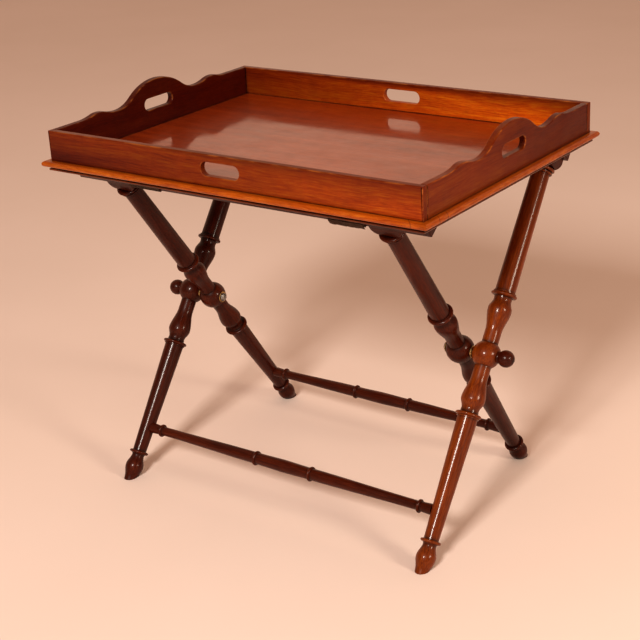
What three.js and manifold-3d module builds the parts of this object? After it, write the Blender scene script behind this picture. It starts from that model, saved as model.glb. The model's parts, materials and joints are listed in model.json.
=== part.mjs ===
// A butler's tray with a four-sided gallery, standing on a folding X-frame stand with turned legs.
// Millimetres. +Z is up, +X runs along the tray's length and the front is towards -Y.
// The origin is on the ground, under the middle of the tray.
import * as THREE from 'three';
import { mergeVertices } from 'three/addons/utils/BufferGeometryUtils.js';
import Module from 'manifold-3d';

const wasm = await Module();
wasm.setup();

// ---- Driving dimensions ----

const FIT_GAP = 0.3; // between any two pieces that touch

// Tray
const TRAY_LENGTH = 820; // over the gallery, along X
const TRAY_DEPTH = 598; // over the gallery, along Y
const TRAY_FLOOR_HEIGHT = 685; // upper face of the tray's panel above the ground
const GALLERY_THICKNESS = 13;
const GALLERY_HEIGHT = 57.5;
const PANEL_THICKNESS = 11;
const HOUSING_DEPTH = 1.5; // of the rebate round the panel that the gallery stands in
const MOULDING_REACH = 13.5; // rounded edge moulding beyond the gallery
const UNDER_FRAME_THICKNESS = 8;
const UNDER_FRAME_WIDTH = 80;
const UNDER_BEAD_REACH = 4; // small bead below the moulding, beyond the gallery
const UNDER_BEAD_HEIGHT = 4.6;
const QUIRK_INSET = 1; // shadow groove above that bead, inside the gallery's outer face
const LONG_HAND_HOLE = { halfLength: 42.4, halfHeight: 12.8, height: 30.8 };
const END_HAND_HOLE = { halfLength: 42, halfHeight: 11.8, height: 46.8 };

// Crest of the two scalloped ends: [distance from the middle, height], joined by S-curves whose
// first arc has the radius given with the station that it starts from.
const CREST_STATIONS = [
  { at: 0, height: 94.5, firstRadius: 125 },
  { at: 118, height: 55.3, firstRadius: 110 },
  { at: 173, height: 63.7, firstRadius: 60 },
  { at: 220, height: GALLERY_HEIGHT },
];

// Stand
const LEG_TILT = THREE.MathUtils.degToRad(36); // from the vertical
const CROSSING_HEIGHT = 331; // pivot axis above the ground
const INNER_LEG_X = 297; // legs of the frame that carries the front rail
const OUTER_LEG_X = 352.5; // legs of the frame that carries the back rail
const RAIL_LENGTH = 784;
const RAIL_WIDTH = 34; // square to the legs
const RAIL_FOOT = 393.7; // lower face of a rail, measured up the leg from the pivot
const BLOCK_LENGTH = 62;
const BLOCK_WIDTH = 30;
const BLOCK_THICKNESS = 22.5;
const BLOCK_END_RADIUS = 16; // of its rounded lower corners
const TENON_RADIUS = 9;
const TENON_END = 400;
const PEG_RADIUS = 3; // of the peg through a block and the leg's tenon
const STRETCHER_DROP = 300; // lower stretcher, measured down the leg from the pivot
const STRETCHER_TENON_RADIUS = 7;
const STRETCHER_TENON_LENGTH = 19;
const STRETCHER_RADIUS = 12.5; // in the middle
const STRETCHER_WAIST = { distance: 60, radius: 11.5 }; // from the middle
const STRETCHER_RING = { distance: 66, halfWidth: 3, radius: 14.5 };
const END_NECK = { inset: 34, radius: 9 }; // from the leg
const END_RING = { inset: 28, halfWidth: 3, radius: 13, baseRadius: 9.5 };
const STRETCHER_END_RADIUS = 10.5;

// Turned legs: radii of their features, and distances along the leg from the pivot
const COLLAR_RADIUS = 24.5;
const COLLAR_HALF_WIDTH = 3.4;
const COLLAR_FILLET = 2; // where the shaft starts, past a collar
const SHAFT_TOP_RADIUS = 17.5;
const SHAFT_LOW_RADIUS = 19.2;
const CROSSING_COLLAR = 116; // collars above and below the crossing
const NECK = { distance: 106, radius: 16.5 }; // between such a collar and its vase
const VASE = { distance: 87, radius: 22.4 };
const WAIST = { distance: 45, radius: 15.5 }; // between a vase and the ball at the crossing
const CROSSING_BALL_RADIUS = 27;
const CROSSING_FLAT = 25.6; // flats on that ball, from the leg's axis
const ANKLE_COLLAR = { distance: 356, radius: 19.5 };
const ANKLE_RADIUS = 14; // of the shaft above the ankle collar
const ANKLE_WAIST = { distance: 362, radius: 12.5 };
const FOOT_SWELL = { distance: 386, radius: 18.5 };
const FOOT_NECK = { distance: 412, radius: 13 };
const FOOT_TIP = { distance: 440, radius: 11 }; // cut off level at the ground

// Pivot
const BOLT_RADIUS = 4;
const BOLT_HEAD_RADIUS = 8.5;
const BOLT_HEAD_HEIGHT = 5;
const WASHER_RADIUS = 11.5;
const WASHER_THICKNESS = 1.6;
const KNOB_RADIUS = 16;
const KNOB_LENGTH = 31;
const KNOB_NECK_RADIUS = 9.5;
const KNOB_TIP_RADIUS = 2.4; // of the small flat at its end
const KNOB_TURN = 11; // degrees that its facets are turned by about its axis
const BOLT_IN_KNOB = 16;

// Webbing straps between the rails
const STRAP_X = 226; // middle of a strap
const STRAP_WIDTH = 74;
const STRAP_THICKNESS = 1.5;

// Screws
const SCREW_HEAD_RADIUS = 4.2;
const SCREW_HEAD_HEIGHT = 2.6;
const SCREW_SHANK_RADIUS = 1.9;
const TRAY_SCREW_LENGTH = 34;
const SLOT_WIDTH = 1;
const SLOT_DEPTH = 1;

// Facets
const LEG_SIDES = 16;
const ROUND_SIDES = 12;
const SMALL_SIDES = 8;
const ARC_STEPS = 6;
const BEAD_STEPS = 4;
const VASE_STEPS = 4;
const NECK_STEPS = 3;
const CURVE_SEGMENTS = 8;

// ---- Derived heights ----

const UNDERSIDE = -PANEL_THICKNESS - UNDER_FRAME_THICKNESS; // of the tray, from its floor
const STRAP_TOP = TRAY_FLOOR_HEIGHT + UNDERSIDE - FIT_GAP;
const RAIL_TOP = STRAP_TOP - STRAP_THICKNESS - FIT_GAP;
const BLOCK_FOOT = RAIL_FOOT - FIT_GAP - BLOCK_THICKNESS;
const SHOULDER = BLOCK_FOOT - FIT_GAP; // top of the turned part of a leg
const PEG_HEIGHT = BLOCK_FOOT + BLOCK_THICKNESS / 2;
const SHAFT_START = CROSSING_COLLAR + COLLAR_HALF_WIDTH + COLLAR_FILLET; // from the pivot
const SHAFT_END = ANKLE_COLLAR.distance - COLLAR_HALF_WIDTH;

// ---- Materials ----

const paint = {
  mahogany: () => new THREE.MeshStandardMaterial({ color: 0x8a3a12, roughness: 0.25, metalness: 0 }),
  darkMahogany: () => new THREE.MeshStandardMaterial({ color: 0x4a150a, roughness: 0.3, metalness: 0 }),
  brass: () => new THREE.MeshStandardMaterial({ color: 0xb08a45, roughness: 0.35, metalness: 1 }),
  steel: () => new THREE.MeshStandardMaterial({ color: 0x5a5754, roughness: 0.5, metalness: 1 }),
  webbing: () => new THREE.MeshStandardMaterial({ color: 0x4b3322, roughness: 0.9, metalness: 0 }),
};

// ---- Solids ----

// A closed geometry as a solid that can be joined and cut.
function toSolid(geometry) {
  const bare = geometry.clone();
  bare.deleteAttribute('normal');
  bare.deleteAttribute('uv');
  const merged = mergeVertices(bare, 1e-4);
  const corners = merged.index.array;
  const triangles = [];
  for (let i = 0; i < corners.length; i += 3) {
    const [a, b, c] = [corners[i], corners[i + 1], corners[i + 2]];
    if (a !== b && b !== c && c !== a) triangles.push(a, b, c);
  }
  return new wasm.Manifold(new wasm.Mesh({
    numProp: 3,
    vertProperties: Float32Array.from(merged.attributes.position.array),
    triVerts: Uint32Array.from(triangles),
  }));
}

function toGeometry(solid) {
  const mesh = solid.getMesh();
  const geometry = new THREE.BufferGeometry();
  geometry.setAttribute('position', new THREE.BufferAttribute(mesh.vertProperties, 3));
  geometry.setIndex(new THREE.BufferAttribute(mesh.triVerts, 1));
  geometry.computeVertexNormals();
  return geometry;
}

const cut = (solid, tools) => tools.reduce((rest, tool) => rest.subtract(tool), solid);

function part(name, solid, material) {
  const mesh = new THREE.Mesh(toGeometry(solid), material);
  mesh.name = name;
  return mesh;
}

function box(x, y, z) {
  const geometry = new THREE.BoxGeometry(x[1] - x[0], y[1] - y[0], z[1] - z[0]);
  geometry.translate((x[0] + x[1]) / 2, (y[0] + y[1]) / 2, (z[0] + z[1]) / 2);
  return toSolid(geometry);
}

// A profile of [height, radius] pairs, from bottom to top, turned about Z.
function turned(profile, sides) {
  const first = profile[0][0];
  const last = profile[profile.length - 1][0];
  const outline = [[first, 0], ...profile, [last, 0]];
  const points = outline.map(([height, radius]) => new THREE.Vector2(radius, height));
  const geometry = new THREE.LatheGeometry(points, sides);
  geometry.rotateX(Math.PI / 2);
  return toSolid(geometry);
}

function rod(radius, from, to, sides = ROUND_SIDES) {
  return turned([[from, radius], [to, radius]], sides);
}

// The same, with its axis along +X or +Y in place of +Z.
const alongX = (solid) => solid.rotate([0, 90, 0]);
const alongY = (solid) => solid.rotate([-90, 0, 0]);

// A flat outline carried up Z from 0.
function extrude(shape, depth) {
  return new THREE.ExtrudeGeometry(shape, { depth, bevelEnabled: false, curveSegments: CURVE_SEGMENTS });
}

// A section drawn as (y, z), carried from one x to another.
function extrudeAlongX(shape, from, to) {
  const geometry = extrude(shape, to - from);
  const yAxis = new THREE.Vector3(0, 1, 0);
  const zAxis = new THREE.Vector3(0, 0, 1);
  const xAxis = new THREE.Vector3(1, 0, 0);
  geometry.applyMatrix4(new THREE.Matrix4().makeBasis(yAxis, zAxis, xAxis));
  geometry.translate(from, 0, 0);
  return toSolid(geometry);
}

// An outline drawn as (x, z), carried from one y to another.
function extrudeAlongY(shape, from, to) {
  const geometry = extrude(shape, to - from);
  geometry.rotateX(Math.PI / 2);
  geometry.translate(0, to, 0);
  return toSolid(geometry);
}

function polygon(points) {
  return new THREE.Shape(points.map(([u, v]) => new THREE.Vector2(u, v)));
}

// ---- Tray ----

// The four sides of the tray are drawn as the front one and turned into place.
// alongHalf is half the gallery's length on that side, acrossHalf how far out its outer face is.
const TRAY_SIDES = [
  { name: 'front', turn: 0, alongHalf: TRAY_LENGTH / 2, acrossHalf: TRAY_DEPTH / 2 },
  { name: 'right', turn: 90, alongHalf: TRAY_DEPTH / 2, acrossHalf: TRAY_LENGTH / 2 },
  { name: 'back', turn: 180, alongHalf: TRAY_LENGTH / 2, acrossHalf: TRAY_DEPTH / 2 },
  { name: 'left', turn: 270, alongHalf: TRAY_DEPTH / 2, acrossHalf: TRAY_LENGTH / 2 },
];

// A strip with mitred ends. Its section is (distance outside the gallery's outer face, height).
function mitredStrip(side, section, inner, outer) {
  const flipped = section.map(([out, height]) => [-side.acrossHalf - out, height]);
  const reach = side.alongHalf + outer;
  const strip = extrudeAlongX(polygon(flipped.reverse()), -reach, reach);
  const innerHalf = side.alongHalf + inner - FIT_GAP / 2;
  const outerHalf = side.alongHalf + outer - FIT_GAP / 2;
  const plan = polygon([
    [-outerHalf, -side.acrossHalf - outer],
    [outerHalf, -side.acrossHalf - outer],
    [innerHalf, -side.acrossHalf - inner],
    [-innerHalf, -side.acrossHalf - inner],
  ]);
  const tall = 100;
  const geometry = extrude(plan, tall);
  geometry.translate(0, 0, -tall / 2);
  return strip.intersect(toSolid(geometry)).rotate([0, 0, side.turn]);
}

// Half circle bulging outward, from the lower to the upper edge of a strip.
function nose(reach, low, high) {
  const radius = (high - low) / 2;
  const points = [];
  for (let i = 0; i <= ARC_STEPS; i++) {
    const angle = -Math.PI / 2 + (Math.PI * i) / ARC_STEPS;
    points.push([reach - radius + radius * Math.cos(angle), low + radius + radius * Math.sin(angle)]);
  }
  return points;
}

function edgeMoulding(side) {
  const section = [
    [FIT_GAP, -PANEL_THICKNESS],
    ...nose(MOULDING_REACH, -PANEL_THICKNESS, 0),
    [FIT_GAP, 0],
  ];
  return mitredStrip(side, section, FIT_GAP, MOULDING_REACH);
}

function underFrame(side) {
  const inner = -UNDER_FRAME_WIDTH;
  const top = -PANEL_THICKNESS - FIT_GAP;
  const beadTop = UNDERSIDE + UNDER_BEAD_HEIGHT;
  const section = [
    [inner, UNDERSIDE],
    ...nose(UNDER_BEAD_REACH, UNDERSIDE, beadTop),
    [-QUIRK_INSET, beadTop],
    [-QUIRK_INSET, top],
    [inner, top],
  ];
  return mitredStrip(side, section, inner, UNDER_BEAD_REACH);
}

// A stadium-shaped hole, lengthwise along x.
function handHole({ halfLength, halfHeight, height }) {
  const hole = new THREE.Path();
  const centre = halfLength - halfHeight;
  hole.absarc(centre, height, halfHeight, -Math.PI / 2, Math.PI / 2, false);
  hole.absarc(-centre, height, halfHeight, Math.PI / 2, (3 * Math.PI) / 2, false);
  hole.closePath();
  return hole;
}

// Two arcs that meet with one slope and are level at both ends.
function sCurve(start, end) {
  const run = end.at - start.at;
  const rise = end.height - start.height;
  const bend = 2 * Math.atan(Math.abs(rise) / run);
  const radiusSum = run / Math.sin(bend);
  const sign = Math.sign(rise);
  const secondRadius = radiusSum - start.firstRadius;
  const points = [];
  for (let i = 1; i <= ARC_STEPS; i++) {
    const angle = (bend * i) / ARC_STEPS;
    const height = start.height + sign * start.firstRadius * (1 - Math.cos(angle));
    points.push([start.at + start.firstRadius * Math.sin(angle), height]);
  }
  for (let i = ARC_STEPS - 1; i >= 0; i--) {
    const angle = (bend * i) / ARC_STEPS;
    const height = end.height - sign * secondRadius * (1 - Math.cos(angle));
    points.push([end.at - secondRadius * Math.sin(angle), height]);
  }
  return points;
}

// The upper edge of a scalloped end, from its middle to one side.
function crestHalf() {
  const points = [];
  for (let i = 1; i < CREST_STATIONS.length; i++) {
    points.push(...sCurve(CREST_STATIONS[i - 1], CREST_STATIONS[i]));
  }
  return points;
}

function galleryPiece(side) {
  const isEnd = side.turn % 180 !== 0;
  // The ends stand between the long sides.
  const half = isEnd ? side.alongHalf - GALLERY_THICKNESS - FIT_GAP : side.alongHalf;
  const crest = isEnd ? crestHalf() : [];
  const middle = isEnd ? [[0, CREST_STATIONS[0].height]] : [];
  const foot = FIT_GAP - HOUSING_DEPTH;
  const outline = polygon([
    [half, foot],
    [half, GALLERY_HEIGHT],
    ...[...crest].reverse(),
    ...middle,
    ...crest.map(([at, height]) => [-at, height]),
    [-half, GALLERY_HEIGHT],
    [-half, foot],
  ]);
  outline.holes.push(handHole(isEnd ? END_HAND_HOLE : LONG_HAND_HOLE));
  const outer = -side.acrossHalf;
  const board = extrudeAlongY(outline, outer, outer + GALLERY_THICKNESS);
  return board.rotate([0, 0, side.turn]);
}

// Screws driven up through the under-frame and the panel into the gallery.
const SCREW_LINE = 7; // inside the gallery's outer face
const SCREW_SPREAD = 0.62; // from the middle of a side, as a share of half its length
const TRAY_SCREWS = TRAY_SIDES.flatMap((side) => {
  return [-SCREW_SPREAD, SCREW_SPREAD].map((share) => {
    const along = share * side.alongHalf;
    const place = new THREE.Vector3(along, -side.acrossHalf + SCREW_LINE, UNDERSIDE);
    return place.applyAxisAngle(new THREE.Vector3(0, 0, 1), THREE.MathUtils.degToRad(side.turn));
  });
});

// A countersunk slotted screw, head down at height 0, point up.
function screw(length) {
  const body = turned([
    [0, SCREW_HEAD_RADIUS],
    [SCREW_HEAD_HEIGHT, SCREW_SHANK_RADIUS],
    [length - SCREW_SHANK_RADIUS * 2, SCREW_SHANK_RADIUS],
    [length, SCREW_SHANK_RADIUS / 4],
  ], SMALL_SIDES);
  const reach = SCREW_HEAD_RADIUS + 1;
  return body.subtract(box([-reach, reach], [-SLOT_WIDTH / 2, SLOT_WIDTH / 2], [-1, SLOT_DEPTH]));
}

// The hole for that screw, a little wider and deeper.
function screwHole(length) {
  const slack = FIT_GAP / Math.cos(Math.PI / SMALL_SIDES);
  return turned([
    [-1, SCREW_HEAD_RADIUS + slack],
    [0, SCREW_HEAD_RADIUS + slack],
    [SCREW_HEAD_HEIGHT, SCREW_SHANK_RADIUS + slack],
    [length + FIT_GAP, SCREW_SHANK_RADIUS + slack],
  ], SMALL_SIDES);
}

// A level plate whose edges lie a distance inside the gallery's outer faces.
function plate(inset, low, high) {
  const halfX = TRAY_LENGTH / 2 - inset;
  const halfY = TRAY_DEPTH / 2 - inset;
  return box([-halfX, halfX], [-halfY, halfY], [low, high]);
}

function buildTray() {
  const tray = new THREE.Group();
  const holes = TRAY_SCREWS.map((place) => screwHole(TRAY_SCREW_LENGTH).translate(place.toArray()));
  const panel = plate(0, -PANEL_THICKNESS, -HOUSING_DEPTH)
    .add(plate(GALLERY_THICKNESS + FIT_GAP, -HOUSING_DEPTH, 0));
  tray.add(part('tray_panel', cut(panel, holes), paint.mahogany()));
  for (const side of TRAY_SIDES) {
    tray.add(part(`gallery_${side.name}`, cut(galleryPiece(side), holes), paint.mahogany()));
    tray.add(part(`edge_moulding_${side.name}`, edgeMoulding(side), paint.mahogany()));
    tray.add(part(`under_frame_${side.name}`, cut(underFrame(side), holes), paint.mahogany()));
  }
  TRAY_SCREWS.forEach((place, i) => {
    const body = screw(TRAY_SCREW_LENGTH).translate(place.toArray());
    tray.add(part(`tray_screw_${i + 1}`, body, paint.brass()));
  });
  tray.position.z = TRAY_FLOOR_HEIGHT;
  return tray;
}

// ---- Stand frames ----

// Each frame is drawn upright, with the pivot axis along X through its origin and its legs along
// Z, and is then tilted. `outside` is -1 or 1: the y direction in which its upper rail leans.

// Adds an S-shaped run from the end of a turned profile to a new height and radius.
function runTo(profile, height, radius, steps = ARC_STEPS) {
  const [startHeight, startRadius] = profile[profile.length - 1];
  for (let i = 1; i <= steps; i++) {
    const share = i / steps;
    const eased = (1 - Math.cos(Math.PI * share)) / 2;
    const at = startHeight + (height - startHeight) * share;
    profile.push([at, startRadius + (radius - startRadius) * eased]);
  }
}

function addBead(profile, centre, halfWidth, radius, baseRadius) {
  for (let i = 0; i <= BEAD_STEPS; i++) {
    const angle = -Math.PI / 2 + (Math.PI * i) / BEAD_STEPS;
    const bulge = (radius - baseRadius) * Math.cos(angle);
    profile.push([centre + halfWidth * Math.sin(angle), baseRadius + bulge]);
  }
}

// The collar, neck, vase and waist above the crossing, from the ball outward.
function crossingTurning() {
  const profile = [[WAIST.distance, WAIST.radius]];
  runTo(profile, VASE.distance, VASE.radius, VASE_STEPS);
  runTo(profile, NECK.distance, NECK.radius, NECK_STEPS);
  addBead(profile, CROSSING_COLLAR, COLLAR_HALF_WIDTH, COLLAR_RADIUS, SHAFT_LOW_RADIUS);
  profile.push([SHAFT_START, SHAFT_LOW_RADIUS]);
  return profile;
}

function legProfile() {
  const profile = [[-FOOT_TIP.distance, FOOT_TIP.radius], [-FOOT_NECK.distance, FOOT_NECK.radius]];
  runTo(profile, -FOOT_SWELL.distance, FOOT_SWELL.radius, NECK_STEPS);
  runTo(profile, -ANKLE_WAIST.distance, ANKLE_WAIST.radius, NECK_STEPS);
  addBead(profile, -ANKLE_COLLAR.distance, COLLAR_HALF_WIDTH, ANKLE_COLLAR.radius, ANKLE_RADIUS);
  const upper = crossingTurning();
  const lower = upper.map(([height, radius]) => [-height, radius]).reverse();
  profile.push(...lower);
  const ballStart = Math.acos(WAIST.radius / CROSSING_BALL_RADIUS);
  for (let i = 0; i <= ARC_STEPS; i++) {
    const angle = -ballStart + (2 * ballStart * i) / ARC_STEPS;
    profile.push([CROSSING_BALL_RADIUS * Math.sin(angle), CROSSING_BALL_RADIUS * Math.cos(angle)]);
  }
  profile.push(...upper);
  addBead(profile, SHOULDER - COLLAR_HALF_WIDTH, COLLAR_HALF_WIDTH, COLLAR_RADIUS, SHAFT_TOP_RADIUS);
  profile.push([SHOULDER, TENON_RADIUS], [TENON_END, TENON_RADIUS]);
  return profile;
}

// Everything below the ground, in the tilted frame's own axes.
function groundCutter(outside) {
  const reach = 600;
  const ground = box([-reach, reach], [-reach, reach], [-reach, -CROSSING_HEIGHT]);
  return ground.rotate([THREE.MathUtils.radToDeg(LEG_TILT) * outside, 0, 0]);
}

// The peg that locks a leg's tenon in its block, and the hole bored for it.
function peg(x) {
  const half = BLOCK_WIDTH / 2;
  return alongY(rod(PEG_RADIUS, -half, half)).translate([x, 0, PEG_HEIGHT]);
}

function pegBore(x) {
  const reach = BLOCK_WIDTH / 2 + 1;
  return alongY(rod(PEG_RADIUS + FIT_GAP, -reach, reach)).translate([x, 0, PEG_HEIGHT]);
}

// The stretcher's ends go into the legs from the inside.
function stretcherHole(x) {
  const inward = -Math.sign(x);
  const start = x + inward * (COLLAR_RADIUS + 1);
  const end = x - inward * (STRETCHER_TENON_LENGTH - legRadiusAtStretcher() + FIT_GAP);
  const radius = STRETCHER_TENON_RADIUS + FIT_GAP;
  const hole = alongX(rod(radius, Math.min(start, end), Math.max(start, end), ROUND_SIDES));
  return hole.translate([0, 0, -STRETCHER_DROP]);
}

function legRadiusAtStretcher() {
  const share = (STRETCHER_DROP - SHAFT_START) / (SHAFT_END - SHAFT_START);
  return SHAFT_LOW_RADIUS + (ANKLE_RADIUS - SHAFT_LOW_RADIUS) * share;
}

function leg(x, outside) {
  const blank = turned(legProfile(), LEG_SIDES).translate([x, 0, 0]);
  const reach = CROSSING_BALL_RADIUS + 5;
  const flats = [-1, 1].map((way) => {
    const faces = [x + way * CROSSING_FLAT, x + way * reach].sort((a, b) => a - b);
    return box(faces, [-reach, reach], [-reach, reach]);
  });
  const bore = alongX(rod(BOLT_RADIUS + FIT_GAP, x - reach, x + reach));
  return cut(blank, [...flats, bore, pegBore(x), stretcherHole(x), groundCutter(outside)]);
}

// The rail's section, as (y, height up the leg). Its lower face is square to the legs and its
// upper one is planed level, so that the tray lies flat on it.
function railSection(outside) {
  const half = RAIL_WIDTH / 2;
  const topAtAxis = (RAIL_TOP - CROSSING_HEIGHT) / Math.cos(LEG_TILT);
  const slope = Math.tan(LEG_TILT);
  const points = [
    [-half, RAIL_FOOT],
    [half, RAIL_FOOT],
    [half, topAtAxis + half * slope],
    [-half, topAtAxis - half * slope],
  ];
  return outside > 0 ? points : points.map(([y, z]) => [-y, z]).reverse();
}

// A convex outline grown by a distance on all sides.
function grown(points, distance) {
  return points.map((corner, i) => {
    const before = points[(i + points.length - 1) % points.length];
    const after = points[(i + 1) % points.length];
    const start = new THREE.Vector2(corner[0] - before[0], corner[1] - before[1]).normalize();
    const end = new THREE.Vector2(after[0] - corner[0], after[1] - corner[1]).normalize();
    const reach = distance / (1 + start.dot(end));
    const away = new THREE.Vector2(start.y + end.y, -start.x - end.x).multiplyScalar(reach);
    return [corner[0] + away.x, corner[1] + away.y];
  });
}

// Webbing wound once round a rail.
function strapWrap(x, outside) {
  const section = railSection(outside);
  const outline = polygon(grown(section, FIT_GAP + STRAP_THICKNESS));
  outline.holes.push(polygon(grown(section, FIT_GAP)));
  return extrudeAlongX(outline, x - STRAP_WIDTH / 2, x + STRAP_WIDTH / 2);
}

// The block between a leg and its rail, with rounded lower ends.
function block(x) {
  const half = BLOCK_LENGTH / 2;
  const foot = BLOCK_FOOT;
  const top = RAIL_FOOT - FIT_GAP;
  const radius = BLOCK_END_RADIUS;
  const outline = new THREE.Shape();
  outline.moveTo(x + half, top);
  outline.lineTo(x - half, top);
  outline.lineTo(x - half, foot + radius);
  outline.absarc(x - half + radius, foot + radius, radius, Math.PI, 1.5 * Math.PI, false);
  outline.absarc(x + half - radius, foot + radius, radius, 1.5 * Math.PI, 2 * Math.PI, false);
  outline.closePath();
  return extrudeAlongY(outline, -BLOCK_WIDTH / 2, BLOCK_WIDTH / 2);
}

function stretcher(legX) {
  const shoulder = legX - legRadiusAtStretcher() - FIT_GAP;
  const tenonEnd = shoulder + STRETCHER_TENON_LENGTH;
  const ring = STRETCHER_RING;
  const half = [[0, STRETCHER_RADIUS]];
  runTo(half, STRETCHER_WAIST.distance, STRETCHER_WAIST.radius, 2);
  addBead(half, ring.distance, ring.halfWidth, ring.radius, STRETCHER_WAIST.radius);
  half.push([shoulder - END_NECK.inset, END_NECK.radius]);
  addBead(half, shoulder - END_RING.inset, END_RING.halfWidth, END_RING.radius, END_RING.baseRadius);
  half.push([shoulder, STRETCHER_END_RADIUS]);
  half.push([shoulder, STRETCHER_TENON_RADIUS]);
  half.push([tenonEnd, STRETCHER_TENON_RADIUS]);
  const mirrored = half.slice(1).map(([height, radius]) => [-height, radius]).reverse();
  return alongX(turned([...mirrored, ...half], ROUND_SIDES)).translate([0, 0, -STRETCHER_DROP]);
}

function buildFrame(name, legX, outside) {
  const frame = new THREE.Group();
  const ends = [['left', -legX], ['right', legX]];
  const tenonHoles = ends.map(([, x]) => {
    return rod(TENON_RADIUS + FIT_GAP, SHOULDER - 5, TENON_END + FIT_GAP, LEG_SIDES).translate([x, 0, 0]);
  });

  const railBlank = extrudeAlongX(polygon(railSection(outside)), -RAIL_LENGTH / 2, RAIL_LENGTH / 2);
  frame.add(part(`${name}_rail`, cut(railBlank, tenonHoles), paint.darkMahogany()));
  for (const [end, x] of ends) {
    frame.add(part(`${name}_leg_${end}`, leg(x, outside), paint.darkMahogany()));
    frame.add(part(`${name}_peg_${end}`, peg(x), paint.mahogany()));
    const bored = cut(block(x), [...tenonHoles, pegBore(x)]);
    frame.add(part(`${name}_block_${end}`, bored, paint.darkMahogany()));
  }
  frame.add(part(`${name}_stretcher`, stretcher(legX), paint.darkMahogany()));
  for (const [end, x] of [['left', -STRAP_X], ['right', STRAP_X]]) {
    frame.add(part(`${name}_strap_wrap_${end}`, strapWrap(x, outside), paint.webbing()));
  }
  frame.position.z = CROSSING_HEIGHT;
  frame.rotation.x = -LEG_TILT * outside;
  return frame;
}

// ---- Pivots ----

function pivotPieces(end, way) {
  const innerFace = INNER_LEG_X - CROSSING_FLAT; // inner flat of the inner leg
  const outerFace = OUTER_LEG_X + CROSSING_FLAT; // outer flat of the outer leg
  const washerOut = innerFace - FIT_GAP;
  const washerIn = washerOut - WASHER_THICKNESS;
  const headOut = washerIn - FIT_GAP;
  const boltEnd = outerFace + FIT_GAP + BOLT_IN_KNOB;
  const bolt = turned([
    [headOut - BOLT_HEAD_HEIGHT, BOLT_HEAD_RADIUS * 0.45],
    [headOut - BOLT_HEAD_HEIGHT * 0.75, BOLT_HEAD_RADIUS * 0.8],
    [headOut - BOLT_HEAD_HEIGHT * 0.3, BOLT_HEAD_RADIUS],
    [headOut, BOLT_HEAD_RADIUS],
    [headOut, BOLT_RADIUS],
    [boltEnd, BOLT_RADIUS],
  ], ROUND_SIDES);
  const bore = rod(BOLT_RADIUS + FIT_GAP, washerIn - 10, boltEnd + FIT_GAP);
  const washer = rod(WASHER_RADIUS, washerIn, washerOut).subtract(bore);
  const spacerIn = INNER_LEG_X + CROSSING_FLAT + FIT_GAP;
  const spacerOut = OUTER_LEG_X - CROSSING_FLAT - FIT_GAP;
  const spacer = rod(WASHER_RADIUS, spacerIn, spacerOut).subtract(bore);
  const knobFoot = outerFace + FIT_GAP;
  const knobProfile = [[knobFoot, KNOB_NECK_RADIUS + 2], [knobFoot + 3, KNOB_NECK_RADIUS]];
  const ballCentre = knobFoot + KNOB_LENGTH - KNOB_RADIUS;
  const ballStart = Math.acos(KNOB_NECK_RADIUS / KNOB_RADIUS);
  const lastAngle = Math.acos(KNOB_TIP_RADIUS / KNOB_RADIUS);
  for (let i = 0; i <= ARC_STEPS; i++) {
    const angle = -ballStart + ((lastAngle + ballStart) * i) / ARC_STEPS;
    knobProfile.push([ballCentre + KNOB_RADIUS * Math.sin(angle), KNOB_RADIUS * Math.cos(angle)]);
  }
  const knob = turned(knobProfile, LEG_SIDES).rotate([0, 0, KNOB_TURN]).subtract(bore);
  // Drawn for the right-hand pivot, and turned half a turn for the left-hand one.
  const place = (solid) => alongX(solid).rotate([0, 0, way > 0 ? 0 : 180]);
  return [
    part(`pivot_bolt_${end}`, place(bolt), paint.steel()),
    part(`pivot_washer_${end}`, place(washer), paint.brass()),
    part(`pivot_spacer_${end}`, place(spacer), paint.brass()),
    part(`pivot_knob_${end}`, place(knob), paint.darkMahogany()),
  ];
}

function buildPivots() {
  const pivots = new THREE.Group();
  for (const [end, way] of [['left', -1], ['right', 1]]) {
    pivots.add(...pivotPieces(end, way));
  }
  pivots.position.z = CROSSING_HEIGHT;
  return pivots;
}

// ---- Strap spans ----

// The free length of webbing between the two rails, level with the top of its wraps.
function buildStraps() {
  const straps = new THREE.Group();
  const wrap = grown(railSection(1), FIT_GAP + STRAP_THICKNESS);
  // The inner upper corner of a wrap, turned into the stand's axes. Below that corner the wrap's
  // inner face leans towards the middle of the stand.
  const [y, z] = wrap[3];
  const innerEdge = y * Math.cos(LEG_TILT) + z * Math.sin(LEG_TILT);
  const half = innerEdge - STRAP_THICKNESS * Math.tan(LEG_TILT) - FIT_GAP;
  for (const [end, x] of [['left', -STRAP_X], ['right', STRAP_X]]) {
    const xs = [x - STRAP_WIDTH / 2, x + STRAP_WIDTH / 2];
    const span = box(xs, [-half, half], [STRAP_TOP - STRAP_THICKNESS, STRAP_TOP]);
    straps.add(part(`strap_span_${end}`, span, paint.webbing()));
  }
  return straps;
}

const trayOnStand = new THREE.Group();
trayOnStand.add(
  buildTray(),
  buildFrame('front', INNER_LEG_X, -1),
  buildFrame('back', OUTER_LEG_X, 1),
  buildPivots(),
  buildStraps(),
);

export default trayOnStand;
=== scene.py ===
"""A mahogany butler's tray on its folding stand: the visible model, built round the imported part.

Shapes are worked out in millimetres and placed in metres. The frame is the part's: +Z up, +X along the
tray's length, the front towards -Y, the ground at 0.
"""

import json
import math
import random

import bmesh
import bpy
import numpy as np
from mathutils import Matrix, Vector, noise
from mathutils.geometry import tessellate_polygon


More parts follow.
